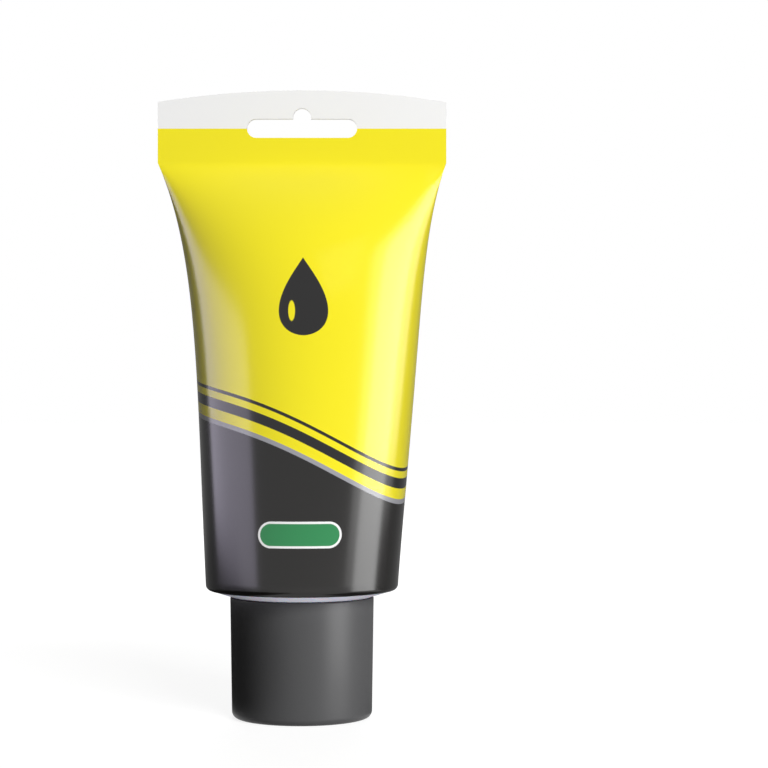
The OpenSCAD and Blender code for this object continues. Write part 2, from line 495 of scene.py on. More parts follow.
@dataclass(frozen=True)
class PrintedFilm(Finish):
    """Glossy print on the outside of the sleeve.

    The sleeve's UV map gives the place on the print: across in shares of the
    girth with the middle of the front at one half, and up in shares of a reach.
    A wave with a ripple parts the two fields, with a line on it and stripes above
    it. The front has a drop with a light streak and a bar with round ends. All
    lengths of the print are millimetres.
    """

    name: str = "sleeve_print"
    girth: float = 141.0
    reach: float = 150.0
    field: Colour = screen(253, 238, 14)
    lower: Colour = screen(14, 12, 10)
    line: Colour = screen(158, 158, 164)
    stripe: Colour = screen(12, 11, 11)
    bare: Colour = screen(248, 248, 248)
    accent: Colour = screen(40, 134, 78)
    field_worn: float = 0.95
    lower_worn: float = 1.25
    bare_z: float = 137.8
    soft: float = 0.12
    wave_z: float = 64.0
    wave_rise: float = 11.0
    wave_shift: float = 45.0
    ripple_rise: float = 2.5
    ripple_shift: float = 40.0
    line_half: float = 0.55
    stripes: tuple[Point, ...] = ((3.0, 5.4), (7.0, 7.8))
    drop_z: float = 89.0
    drop_h: float = 18.0
    drop_w: float = 15.1
    drop_foot_power: float = 0.5
    drop_tip_power: float = 1.1
    streak: Point = (-2.6, 94.6)
    streak_half: Point = (0.75, 2.3)
    streak_soft: float = 0.3
    bar_z: float = 44.0
    bar_half: float = 6.6
    bar_r: float = 3.0
    bar_rim: float = 0.5
    ior: float = 1.47
    skin: Skin = Skin(
        grain=520.0, patch=22.0, roughness=0.2, spread=0.04, strength=0.08, scratches=0.0
    )

    def wave(self, sheet: NodeSheet, across: Socket) -> Socket:
        """Gives the height of the wavy border between the two fields.

        Args:
            sheet: Node sheet of the material.
            across: Distance from the middle of the front.

        Returns:
            The height.
        """
        turn = 2 * math.pi / self.girth
        slow = sheet.calc("MULTIPLY_ADD", across, turn, self.wave_shift * turn)
        fast = sheet.calc("MULTIPLY_ADD", across, 2 * turn, self.ripple_shift * turn)
        wave = sheet.calc("MULTIPLY", sheet.calc("COSINE", slow), self.wave_rise)
        ripple = sheet.calc("MULTIPLY", sheet.calc("SINE", fast), self.ripple_rise)
        return sheet.total(self.wave_z, wave, ripple)

    def drop(self, sheet: NodeSheet, across: Socket, up: Socket) -> Socket:
        """Gives the mask of a plain oil drop with a light streak.

        Args:
            sheet: Node sheet of the material.
            across: Distance from the middle of the front.
            up: Height.

        Returns:
            The mask's socket.
        """
        calc = sheet.calc
        share = calc("MULTIPLY_ADD", up, 1 / self.drop_h, -self.drop_z / self.drop_h, clamp=True)
        foot = calc("POWER", share, self.drop_foot_power)
        tip = calc("POWER", calc("SUBTRACT", 1.0, share), self.drop_tip_power)
        half = calc("MULTIPLY", calc("MULTIPLY", foot, tip), self.drop_w)
        aside = calc("ADD", calc("ABSOLUTE", across), self.soft)
        body = sheet.edge(calc("SUBTRACT", half, aside), self.soft)
        squares = [
            calc("POWER", calc("MULTIPLY_ADD", way, 1 / size, -middle / size), 2.0)
            for way, middle, size in zip((across, up), self.streak, self.streak_half)
        ]
        streak = sheet.edge(calc("SUBTRACT", 1.0, sheet.total(*squares)), self.streak_soft)
        return calc("MULTIPLY", body, calc("SUBTRACT", 1.0, streak))

    def bar(self, sheet: NodeSheet, across: Socket, up: Socket) -> Socket:
        """Gives the distance inside the edge of a round-ended bar.

        Args:
            sheet: Node sheet of the material.
            across: Distance from the middle of the front.
            up: Height.

        Returns:
            The distance, above zero inside the bar.
        """
        calc = sheet.calc
        aside = calc("SUBTRACT", calc("ABSOLUTE", across), self.bar_half)
        out = calc("POWER", calc("MAXIMUM", aside, 0.0), 2.0)
        high = calc("POWER", calc("SUBTRACT", up, self.bar_z), 2.0)
        return calc("SUBTRACT", self.bar_r, calc("SQRT", calc("ADD", out, high)))

    def material(self) -> Material:
        """Builds the material.

        Returns:
            The new material.
        """
        material, sheet, shader, place = self.start(self.name)
        shader.inputs["IOR"].default_value = self.ior
        chart = sheet.add("ShaderNodeUVMap", settings={"uv_map": SleeveLoft.CHART})
        parts = sheet.split(chart.outputs[0])
        across = sheet.calc("MULTIPLY_ADD", parts[0], self.girth, -self.girth / 2)
        up = sheet.calc("MULTIPLY", parts[1], self.reach)
        patches = self.skin.dress(sheet, shader, place)

        rise = sheet.calc("SUBTRACT", up, self.wave(sheet, across))
        field = sheet.paint(patches, shade(self.field, self.field_worn), self.field)
        lower = sheet.paint(patches, self.lower, shade(self.lower, self.lower_worn))
        colour = sheet.paint(sheet.edge(rise, self.soft), lower, field)
        line = sheet.band(rise, -self.line_half, self.line_half, self.soft)
        colour = sheet.paint(line, colour, self.line)
        for low, high in self.stripes:
            colour = sheet.paint(sheet.band(rise, low, high, self.soft), colour, self.stripe)
        colour = sheet.paint(self.drop(sheet, across, up), colour, self.stripe)
        inside = self.bar(sheet, across, up)
        colour = sheet.paint(sheet.edge(inside, self.soft), colour, self.bare)
        core = sheet.edge(sheet.calc("SUBTRACT", inside, self.bar_rim), self.soft)
        colour = sheet.paint(core, colour, self.accent)
        top = sheet.edge(sheet.calc("SUBTRACT", up, self.bare_z), self.soft)
        sheet.feed(shader.inputs["Base Color"], sheet.paint(top, colour, self.bare))
        return material


class Workshop:
    """Ways to make meshes and put them on their bodies.

    MERGE is the distance up to which two points are one, and SHORT is the length
    up to which an edge counts as none.
    """

    MERGE = 1e-7
    SHORT = 1e-8

    @staticmethod
    def piece(name: str, points: list[Spot], faces: list[tuple[int, ...]]) -> Object:
        """Makes a mesh object at the origin.

        Args:
            name: Name of the piece.
            points: Corner points.
            faces: Faces as point numbers.

        Returns:
            The new object, linked to the scene.
        """
        mesh = bpy.data.meshes.new(name)
        mesh.from_pydata(points, [], faces)
        mesh.validate()
        thing = bpy.data.objects.new(name, mesh)
        bpy.context.scene.collection.objects.link(thing)
        return thing

    @staticmethod
    def turned(name: str, profile: list[Point], segments: int) -> Object:
        """Turns a closed profile about the Z axis.

        Args:
            name: Name of the piece.
            profile: Radius and height of each corner, in order.
            segments: Number of steps round the axis.

        Returns:
            The new object with merged points and outward faces.
        """
        points = []
        faces = []
        count = len(profile)
        for step in range(segments):
            angle = 2 * math.pi * step / segments
            for radius, height in profile:
                points.append((radius * math.cos(angle), radius * math.sin(angle), height))
        for step in range(segments):
            here, there = step * count, (step + 1) % segments * count
            for k in range(count):
                after = (k + 1) % count
                if profile[k][0] > 0 or profile[after][0] > 0:
                    faces.append((here + k, there + k, there + after, here + after))
        thing = Workshop.piece(name, points, faces)
        Workshop.clean(thing.data)
        return thing

    @staticmethod
    def clean(mesh: Mesh) -> None:
        """Merges double points, drops empty faces, splits those of many corners, turns all out.

        Args:
            mesh: Closed mesh to clean.
        """
        work = bmesh.new()
        work.from_mesh(mesh)
        bmesh.ops.remove_doubles(work, verts=work.verts, dist=Workshop.MERGE)
        bmesh.ops.dissolve_degenerate(work, edges=work.edges, dist=Workshop.SHORT)
        many = [face for face in work.faces if len(face.verts) > 4]
        bmesh.ops.triangulate(work, faces=many, ngon_method="BEAUTY")
        bmesh.ops.recalc_face_normals(work, faces=work.faces)
        work.to_mesh(mesh)
        work.free()

    @staticmethod
    def smooth(mesh: Mesh, angle: float) -> None:
        """Shades a mesh smoothly and keeps edges above an angle in degrees sharp."""
        mesh.polygons.foreach_set("use_smooth", [True] * len(mesh.polygons))
        mesh.set_sharp_from_angle(angle=math.radians(angle))

    @staticmethod
    def bake(thing: Object) -> None:
        """Turns an object's modifiers into its plain mesh.

        Args:
            thing: Object whose modifiers are used up.
        """
        graph = bpy.context.evaluated_depsgraph_get()
        mesh = bpy.data.meshes.new_from_object(thing.evaluated_get(graph))
        thing.modifiers.clear()
        thing.data = mesh
        mesh.name = thing.name

    @staticmethod
    def grow(name: str, tree: Tree, values: dict[str, object]) -> Object:
        """Runs a geometry tree with named values and keeps its plain mesh.

        Args:
            name: Name of the piece.
            tree: Geometry tree with one output.
            values: Value of each named input.

        Returns:
            The new object without modifiers.
        """
        thing = Workshop.piece(name, [], [])
        modifier = thing.modifiers.new(tree.name, "NODES")
        modifier.node_group = tree
        for item in tree.interface.items_tree:
            if item.in_out == "INPUT" and item.name in values:
                modifier[item.identifier] = values[item.name]
        Workshop.bake(thing)
        Workshop.clean(thing.data)
        return thing

    @staticmethod
    def arc(middle: Point, radius: float, start: float, end: float, steps: int) -> list[Point]:
        """Gives the points of an arc in a profile, between two angles in degrees."""
        turns = [math.radians(start + (end - start) * k / steps) for k in range(steps + 1)]
        return [(middle[0] + radius * math.cos(a), middle[1] + radius * math.sin(a)) for a in turns]

    @staticmethod
    def hand_over(thing: Object, body: Body, slot: Slot, node: str = "") -> None:
        """Puts a finished piece on its body, hides the solid that it stands for and reports it.

        Args:
            thing: Finished piece.
            body: Body that it rides on.
            slot: Material slot of the piece; not used.
            node: Solid that it stands for, if any.
        """
        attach(thing, body.value)
        if node:
            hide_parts(node)
        LOG.info("%s: %d faces, rides on %s", thing.name, len(thing.data.polygons), body.value)


class GeometryTrees:
    """Start and end of every geometry tree, and the trees of the threads and the ribs."""

    @staticmethod
    def start(
        name: str,
        numbers: dict[str, float],
        counts: dict[str, int],
        finishes: tuple[str, ...] = ("Material",),
    ) -> tuple[Tree, NodeSheet, Outputs]:
        """Starts a tree with its named inputs and its output.

        Args:
            name: Name of the tree.
            numbers: Lengths and shares with their first values.
            counts: Whole numbers with their first values.
            finishes: Names of the materials.

        Returns:
            The tree, its node sheet and what it is given.
        """
        tree = bpy.data.node_groups.new(name, "GeometryNodeTree")
        ports = tree.interface
        for kind, values in (("NodeSocketFloat", numbers), ("NodeSocketInt", counts)):
            for label, value in values.items():
                port = ports.new_socket(label, in_out="INPUT", socket_type=kind)
                port.default_value = value
        for label in finishes:
            ports.new_socket(label, in_out="INPUT", socket_type="NodeSocketMaterial")
        ports.new_socket("Geometry", in_out="OUTPUT", socket_type="NodeSocketGeometry")
        sheet = NodeSheet(tree)
        return tree, sheet, sheet.add("NodeGroupInput").outputs

    @staticmethod
    def end(
        sheet: NodeSheet,
        shape: Socket,
        material: Socket,
        rest: Socket | None = None,
        inside: Socket | None = None,
    ) -> None:
        """Ends a tree in plain geometry with its materials.

        Args:
            sheet: Node sheet of the tree.
            shape: Geometry to put out.
            material: Material of all its faces.
            rest: Mask of the faces that have a material of their own.
            inside: Material of these faces.
        """
        real = sheet.add("GeometryNodeRealizeInstances", {"Geometry": shape}).outputs[0]
        dress = {"Geometry": real, "Material": material}
        shape = sheet.add("GeometryNodeSetMaterial", dress).outputs[0]
        if rest:
            dress = {"Geometry": shape, "Selection": rest, "Material": inside}
            shape = sheet.add("GeometryNodeSetMaterial", dress).outputs[0]
        sheet.add("NodeGroupOutput", {"Geometry": shape})

    @staticmethod
    def thread_ridge(numbers: dict[str, float], counts: dict[str, int]) -> Tree:
        """Builds a right-hand thread ridge that runs out softly at both ends.

        Args:
            numbers: Lengths and shares by the names that are used here.
            counts: Whole numbers by the names that are used here.

        Returns:
            The geometry tree.
        """
        tree, sheet, given = GeometryTrees.start("thread_ridge", numbers, counts)
        calc = sheet.calc
        line = sheet.add("GeometryNodeMeshLine", {"Count": given["Points"]}, {"mode": "OFFSET"})
        index = sheet.add("GeometryNodeInputIndex").outputs[0]
        share = calc("DIVIDE", index, calc("SUBTRACT", given["Points"], 1.0))
        turns = calc("MULTIPLY", share, given["Turns"])
        angle = calc("MULTIPLY", turns, 2 * math.pi)
        place = sheet.combine(
            calc("MULTIPLY", calc("COSINE", angle), given["Root radius"]),
            calc("MULTIPLY", calc("SINE", angle), given["Root radius"]),
            calc("MULTIPLY_ADD", turns, given["Pitch"], given["Start height"]),
        )
        helix = sheet.add(
            "GeometryNodeSetPosition", {"Geometry": line.outputs[0], "Position": place}
        )
        path = sheet.add("GeometryNodeMeshToCurve", {"Mesh": helix.outputs[0]})
        upright = sheet.add(
            "GeometryNodeSetCurveNormal", {"Curve": path.outputs[0]}, {"mode": "Z_UP"}
        )
        along = sheet.add("GeometryNodeSplineParameter").outputs["Factor"]
        nearest = calc("MINIMUM", along, calc("SUBTRACT", 1.0, along))
        grown = calc("DIVIDE", nearest, given["Run-out"], clamp=True)
        swell = calc("MAXIMUM", grown, given["End size"])
        sized = sheet.add(
            "GeometryNodeSetCurveRadius", {"Curve": upright.outputs[0], "Radius": swell}
        )
        sunk = calc("MULTIPLY", given["Sunk"], calc("SIGN", given["Depth"]))
        root, crest = calc("MULTIPLY", given["Root width"], 0.5), given["Depth"]
        below, tip = calc("MULTIPLY", sunk, -1.0), calc("MULTIPLY", given["Crest width"], 0.5)
        corners = {
            "Point 1": sheet.combine(below, root),
            "Point 2": sheet.combine(crest, tip),
            "Point 3": sheet.combine(crest, calc("MULTIPLY", tip, -1.0)),
            "Point 4": sheet.combine(below, calc("MULTIPLY", root, -1.0)),
        }
        section = sheet.add("GeometryNodeCurvePrimitiveQuadrilateral", corners, {"mode": "POINTS"})
        ridge = sheet.add(
            "GeometryNodeCurveToMesh",
            {
                "Curve": sized.outputs[0],
                "Profile Curve": section.outputs[0],
                "Fill Caps": True,
            },
        )
        GeometryTrees.end(sheet, ridge.outputs[0], given["Material"])
        return tree

    @staticmethod
    def rib_ring(numbers: dict[str, float], counts: dict[str, int]) -> Tree:
        """Builds upright ribs that stand in a ring.

        Args:
            numbers: Lengths by the names that are used here.
            counts: Whole numbers by the names that are used here.

        Returns:
            The geometry tree.
        """
        tree, sheet, given = GeometryTrees.start("rib_ring", numbers, counts)
        calc = sheet.calc
        ends = (("Outer radius", "Inner radius"), ("High", "Low"))
        long, tall = (calc("SUBTRACT", given[far], given[near]) for far, near in ends)
        out, up = (
            calc("MULTIPLY", calc("ADD", given[far], given[near]), 0.5) for far, near in ends
        )
        size = sheet.combine(long, given["Thickness"], tall)
        rib = sheet.add("GeometryNodeMeshCube", {"Size": size, "Vertices Z": given["Rows"]})
        placed = sheet.add(
            "GeometryNodeTransform",
            {"Geometry": rib.outputs[0], "Translation": sheet.combine(out, 0.0, up)},
        )
        spots = sheet.add(
            "GeometryNodeMeshLine", {"Count": given["Count"], "Offset": (0.0, 0.0, 0.0)}
        )
        step = calc("DIVIDE", 2 * math.pi, given["Count"])
        turn = calc("MULTIPLY", sheet.add("GeometryNodeInputIndex").outputs[0], step)
        ring = sheet.add(
            "GeometryNodeInstanceOnPoints",
            {
                "Points": spots.outputs[0],
                "Instance": placed.outputs[0],
                "Rotation": sheet.combine(0.0, 0.0, turn),
            },
        )
        GeometryTrees.end(sheet, ring.outputs[0], given["Material"])
        return tree


@dataclass(frozen=True)
class Thread:
    """Right-hand thread that the neck and the socket of the cap share.

    Its start is a height above the mouth of the neck. Each ridge is sunk in its
    wall, grows to its full size over the run-out, a share of its length, and has
    some play to the wall opposite.
    """

    pitch: float = 3.2 * MM
    root_w: float = 1.5 * MM
    crest_w: float = 0.8 * MM
    depth: float = 0.9 * MM
    sunk: float = 0.2 * MM
    play: float = 0.3 * MM
    start: float = 1.3 * MM
    run_out: float = 0.08
    end_size: float = 0.08
    steps: int = 72

    def ridge(
        self, name: str, side: Side, root: float, start: float, turns: float, material: Material
    ) -> Object:
        """Makes one thread ridge.

        Args:
            name: Name of the piece.
            side: Side of the wall that it stands on.
            root: Radius of the wall.
            start: Height of its lower end where it passes the X axis.
            turns: Number of turns.
            material: Finish of the ridge.

        Returns:
            The new object.
        """
        numbers = {
            "Root radius": root,
            "Start height": start,
            "Pitch": self.pitch,
            "Turns": turns,
            "Depth": self.depth * side.value,
            "Root width": self.root_w,
            "Crest width": self.crest_w,
            "Sunk": self.sunk,
            "Run-out": self.run_out,
            "End size": self.end_size,
        }
        counts = {"Points": int(turns * self.steps)}
        tree = GeometryTrees.thread_ridge(numbers, counts)
        thing = Workshop.grow(name, tree, numbers | counts | {"Material": material})
        Workshop.smooth(thing.data, angle=28)
        return thing


@dataclass(frozen=True)
class Patch:
    """Flat grid of a geometry tree, before its points are placed."""

    grid: Socket
    across: Socket
    along: Socket
    rows: Socket


class SleeveLoft:
    """Geometry tree that lofts the sleeve from its round lip to its flat seal.

    Each part of the surface is a grid whose points are placed by the rule of
    that part. Across the grid is the way round the sleeve from the middle of
    its back, and along the grid is the way up. MERGE is the distance up to which
    points of two parts are one, and SIDEWAYS is the sine up to which a point lies
    on a side edge.
    """

    CHART = "print"
    INNER = "inner"
    MERGE = 1e-6
    SIDEWAYS = 1e-5

    def __init__(self, numbers: dict[str, float], counts: dict[str, int]) -> None:
        """Starts the tree.

        Args:
            numbers: Lengths and shares by the names that the methods use.
            counts: Whole numbers by the names that the methods use.
        """
        self.tree, self.sheet, self.given = GeometryTrees.start(
            "sleeve_loft", numbers, counts, ("Outside", "Inside")
        )
        calc, given = self.sheet.calc, self.given
        self.lip_top = calc("ADD", given["Lip height"], given["Lip radius"])
        self.lip_middle = calc("SUBTRACT", given["Radius"], given["Lip radius"])

    def patch(self, columns: object, rows: object) -> Patch:
        """Adds a flat grid of one unit.

        Args:
            columns: Number of steps across.
            rows: Number of steps along.

        Returns:
            The grid with the shares of the way over it.
        """
        sheet = self.sheet
        wide, high = (sheet.calc("ADD", count, 1.0) for count in (columns, rows))
        grid = sheet.add(
            "GeometryNodeMeshGrid",
            {"Size X": 1.0, "Size Y": 1.0, "Vertices X": wide, "Vertices Y": high},
        )
        place = sheet.split(sheet.add("GeometryNodeInputPosition").outputs[0])
        across, along = (sheet.calc("ADD", place[axis], 0.5) for axis in (0, 1))
        return Patch(grid.outputs["Mesh"], across, along, high)

    def full_turn(self, patch: Patch) -> Socket:
        """Gives the angle of a patch's points, a full turn from the middle of the back."""
        return self.sheet.calc("MULTIPLY_ADD", patch.across, 2 * math.pi, math.pi / 2)

    def half_width(self, share: object) -> Socket:
        """Gives half the width with the wall, an even taper with a late flare.

        Args:
            share: Share of the way from the lip to the foot of the seal.

        Returns:
            The length's socket.
        """
        calc, given = self.sheet.calc, self.given
        flare = calc("POWER", share, given["Flare power"])
        late = calc("MULTIPLY", flare, calc("SUBTRACT", 1.0, given["Taper share"]))
        grown = calc("MULTIPLY_ADD", given["Taper share"], share, late)
        wider = calc("SUBTRACT", given["Seal half width"], given["Radius"])
        return calc("MULTIPLY_ADD", wider, grown, given["Radius"])

    def half_depth(self, share: object) -> Socket:
        """Gives half the depth of the space inside, which stays full and closes softly.

        Args:
            share: Share of the way from the lip to the foot of the seal.

        Returns:
            The length's socket.
        """
        calc, given = self.sheet.calc, self.given
        slim = calc("SUBTRACT", 1.0, calc("MULTIPLY", given["Slimming"], share))
        full = calc("MULTIPLY", calc("SUBTRACT", given["Radius"], given["Wall"]), slim)
        left = calc("SUBTRACT", 1.0, calc("POWER", share, given["Fullness"]))
        return calc("MULTIPLY", full, calc("POWER", left, given["Closing"]))

    def ring(self, angle: Socket, share: object, side: Side) -> list[Socket]:
        """Gives the places of points on level rings.

        Args:
            angle: Angle of each point.
            share: Share of the way from the lip to the foot of the seal.
            side: Side of the wall.

        Returns:
            The three coordinates.
        """
        calc, given = self.sheet.calc, self.given
        skin = given["Wall"] if side is Side.OUTSIDE else 0.0
        back = calc("SINE", angle)
        flat = calc("ABSOLUTE", back)
        sign = calc("MULTIPLY", calc("SIGN", back), calc("GREATER_THAN", flat, self.SIDEWAYS))
        width = calc("ADD", calc("SUBTRACT", self.half_width(share), given["Wall"]), skin)
        pinch = calc("POWER", share, given["Pinch power"])
        sharp = calc("MULTIPLY_ADD", pinch, given["Pinch"], 1.0)
        space = calc("MULTIPLY", self.half_depth(share), calc("POWER", flat, sharp))
        film = calc("MULTIPLY", calc("POWER", flat, calc("SUBTRACT", 1.0, share)), skin)
        swing = calc("MULTIPLY", calc("POWER", share, given["Lean power"]), math.pi)
        bow = calc("MULTIPLY", calc("SINE", swing), given["Lean"])
        rise = calc("MULTIPLY", calc("SUBTRACT", given["Foot height"], self.lip_top), share)
        return [
            calc("MULTIPLY_ADD", width, calc("COSINE", angle), bow),
            calc("MULTIPLY", calc("ADD", space, film), sign),
            calc("ADD", self.lip_top, rise),
        ]

    def circle(self, patch: Patch, radius: Socket, height: Socket) -> list[Socket]:
        """Gives the three coordinates of a patch's points on level circles."""
        calc, angle = self.sheet.calc, self.full_turn(patch)
        return [calc("MULTIPLY", radius, calc(way, angle)) for way in ("COSINE", "SINE")] + [height]

    def arch(self, across: Socket) -> Socket:
        """Gives the height of the arched top edge of the seal.

        Args:
            across: Coordinate along X.

        Returns:
            The height.
        """
        calc, given = self.sheet.calc, self.given
        half, rise = given["Seal half width"], given["Seal rise"]
        squares = calc("MULTIPLY_ADD", half, half, calc("MULTIPLY", rise, rise))
        bow = calc("DIVIDE", squares, calc("MULTIPLY", rise, 2.0))
        fall = calc("SUBTRACT", calc("MULTIPLY", bow, bow), calc("MULTIPLY", across, across))
        return calc("ADD", calc("SUBTRACT", given["Top height"], bow), calc("SQRT", fall))

    def place(self, patch: Patch, spot: list[Socket], side: Side) -> Socket:
        """Puts the points of a patch in their places and marks its side.

        Args:
            patch: Flat grid.
            spot: The three coordinates of its points.
            side: Side of the wall, where the outside gets its chart.

        Returns:
            The placed patch.
        """
        sheet = self.sheet
        shape = sheet.add(
            "GeometryNodeSetPosition",
            {"Geometry": patch.grid, "Position": sheet.combine(*spot)},
        ).outputs[0]
        if side is Side.OUTSIDE:
            return self.chart(shape, patch.rows)
        return sheet.add(
            "GeometryNodeStoreNamedAttribute",
            {"Geometry": shape, "Name": self.INNER, "Value": True},
            {"data_type": "BOOLEAN", "domain": "FACE"},
        ).outputs[0]

    def chart(self, shape: Socket, rows: Socket) -> Socket:
        """Lays the print's chart on a patch: across by the girth, up by the height.

        Args:
            shape: Placed patch.
            rows: Number of its points along.

        Returns:
            The patch with its UV map.
        """
        sheet = self.sheet
        calc = sheet.calc
        index = sheet.add("GeometryNodeInputIndex").outputs[0]
        here = sheet.add("GeometryNodeInputPosition").outputs[0]
        before = sheet.add(
            "GeometryNodeFieldAtIndex",
            {"Index": calc("SUBTRACT", index, rows), "Value": here},
            {"data_type": "FLOAT_VECTOR", "domain": "POINT"},
        )
        step = sheet.vector("SUBTRACT", here, before.outputs[0])[0]
        level = sheet.vector("MULTIPLY", step, (1.0, 1.0, 0.0))[0]
        begun = calc("GREATER_THAN", index, calc("SUBTRACT", rows, 0.5))
        run = sheet.add(
            "GeometryNodeAccumulateField",
            {
                "Value": calc("MULTIPLY", sheet.vector("LENGTH", level)["Value"], begun),
                "Group ID": calc("MODULO", index, rows),
            },
            {"data_type": "FLOAT", "domain": "POINT"},
        ).outputs
        across = calc("DIVIDE", run["Leading"], run["Total"])
        up = calc("DIVIDE", sheet.split(here)[2], self.given["Chart reach"])
        return sheet.add(
            "GeometryNodeStoreNamedAttribute",
            {"Geometry": shape, "Name": self.CHART, "Value": sheet.combine(across, up)},
            {"data_type": "FLOAT2", "domain": "CORNER"},
        ).outputs[0]

    def wall(self, side: Side) -> Socket:
        """Lofts one side of the wall, with closer rings towards the seal.

        Args:
            side: Side of the wall.

        Returns:
            The placed patch.
        """
        calc, given = self.sheet.calc, self.given
        rings = "Wall rings" if side is Side.OUTSIDE else "Inner rings"
        patch = self.patch(given["Segments"], given[rings])
        left = calc("POWER", calc("SUBTRACT", 1.0, patch.along), given["Crowding"])
        share = calc("SUBTRACT", 1.0, left)
        if side is Side.INSIDE:
            share = calc("MULTIPLY", share, given["Cavity end"])
        return self.place(patch, self.ring(self.full_turn(patch), share, side), side)

    def lip(self, side: Side) -> Socket:
        """Rolls one side of the lip inwards by a quarter turn.

        Args:
            side: Side of the wall.

        Returns:
            The placed patch.
        """
        calc, given = self.sheet.calc, self.given
        patch = self.patch(given["Segments"], given["Lip rings"])
        roll = given["Lip radius"]
        if side is Side.INSIDE:
            roll = calc("SUBTRACT", roll, given["Wall"])
        turn = calc("MULTIPLY", calc("SUBTRACT", 1.0, patch.along), math.pi / 2)
        radius = calc("MULTIPLY_ADD", roll, calc("COSINE", turn), self.lip_middle)
        height = calc("SUBTRACT", self.lip_top, calc("MULTIPLY", roll, calc("SINE", turn)))
        return self.place(patch, self.circle(patch, radius, height), side)

    def lip_end(self) -> Socket:
        """Closes the rolled lip between its two sides.

        Returns:
            The placed patch.
        """
        given = self.given
        patch = self.patch(given["Segments"], 1.0)
        height = self.sheet.calc("MULTIPLY_ADD", patch.along, given["Wall"], given["Lip height"])
        return self.place(patch, self.circle(patch, self.lip_middle, height), Side.INSIDE)

    def seal(self) -> Socket:
        """Makes both faces of the flat seal up to its arched edge.

        Returns:
            The placed patch.
        """
        calc, foot = self.sheet.calc, self.given["Foot height"]
        patch = self.patch(self.given["Segments"], self.given["Seal rings"])
        across, depth, _ = self.ring(self.full_turn(patch), 1.0, Side.OUTSIDE)
        tall = calc("SUBTRACT", self.arch(across), foot)
        height = calc("MULTIPLY_ADD", tall, patch.along, foot)
        return self.place(patch, [across, depth, height], Side.OUTSIDE)

    def strip(self, share: object, side: Side) -> Socket:
        """Closes a ring from its back half to its front half.

        Args:
            share: Share of the way up of the ring.
            side: Outside for the arched top edge, inside for the end of the cavity.

        Returns:
            The placed patch.
        """
        calc = self.sheet.calc
        patch = self.patch(calc("MULTIPLY", self.given["Segments"], 0.5), 1.0)
        across, depth, height = self.ring(calc("MULTIPLY", patch.across, math.pi), share, side)
        to_front = calc("MULTIPLY_ADD", patch.along, -2.0, 1.0)
        if side is Side.OUTSIDE:
            height = self.arch(across)
        return self.place(patch, [across, calc("MULTIPLY", depth, to_front), height], Side.INSIDE)

    def build(self) -> Tree:
        """Joins all parts of the surface into one closed shell.

        Returns:
            The geometry tree.
        """
        sheet, given = self.sheet, self.given
        parts = [self.lip(side) for side in Side] + [self.wall(side) for side in Side]
        parts += [self.seal(), self.lip_end()]
        parts += [self.strip(1.0, Side.OUTSIDE), self.strip(given["Cavity end"], Side.INSIDE)]
        join = sheet.add("GeometryNodeJoinGeometry")
        for part in parts:
            sheet.feed(join.inputs[0], part)
        whole = sheet.add(
            "GeometryNodeMergeByDistance",
            {"Geometry": join.outputs[0], "Distance": self.MERGE},
        ).outputs[0]
        inner = sheet.add(
            "GeometryNodeInputNamedAttribute", {"Name": self.INNER}, {"data_type": "BOOLEAN"}
        ).outputs[0]
        GeometryTrees.end(sheet, whole, given["Outside"], inner, given["Inside"])
        return self.tree


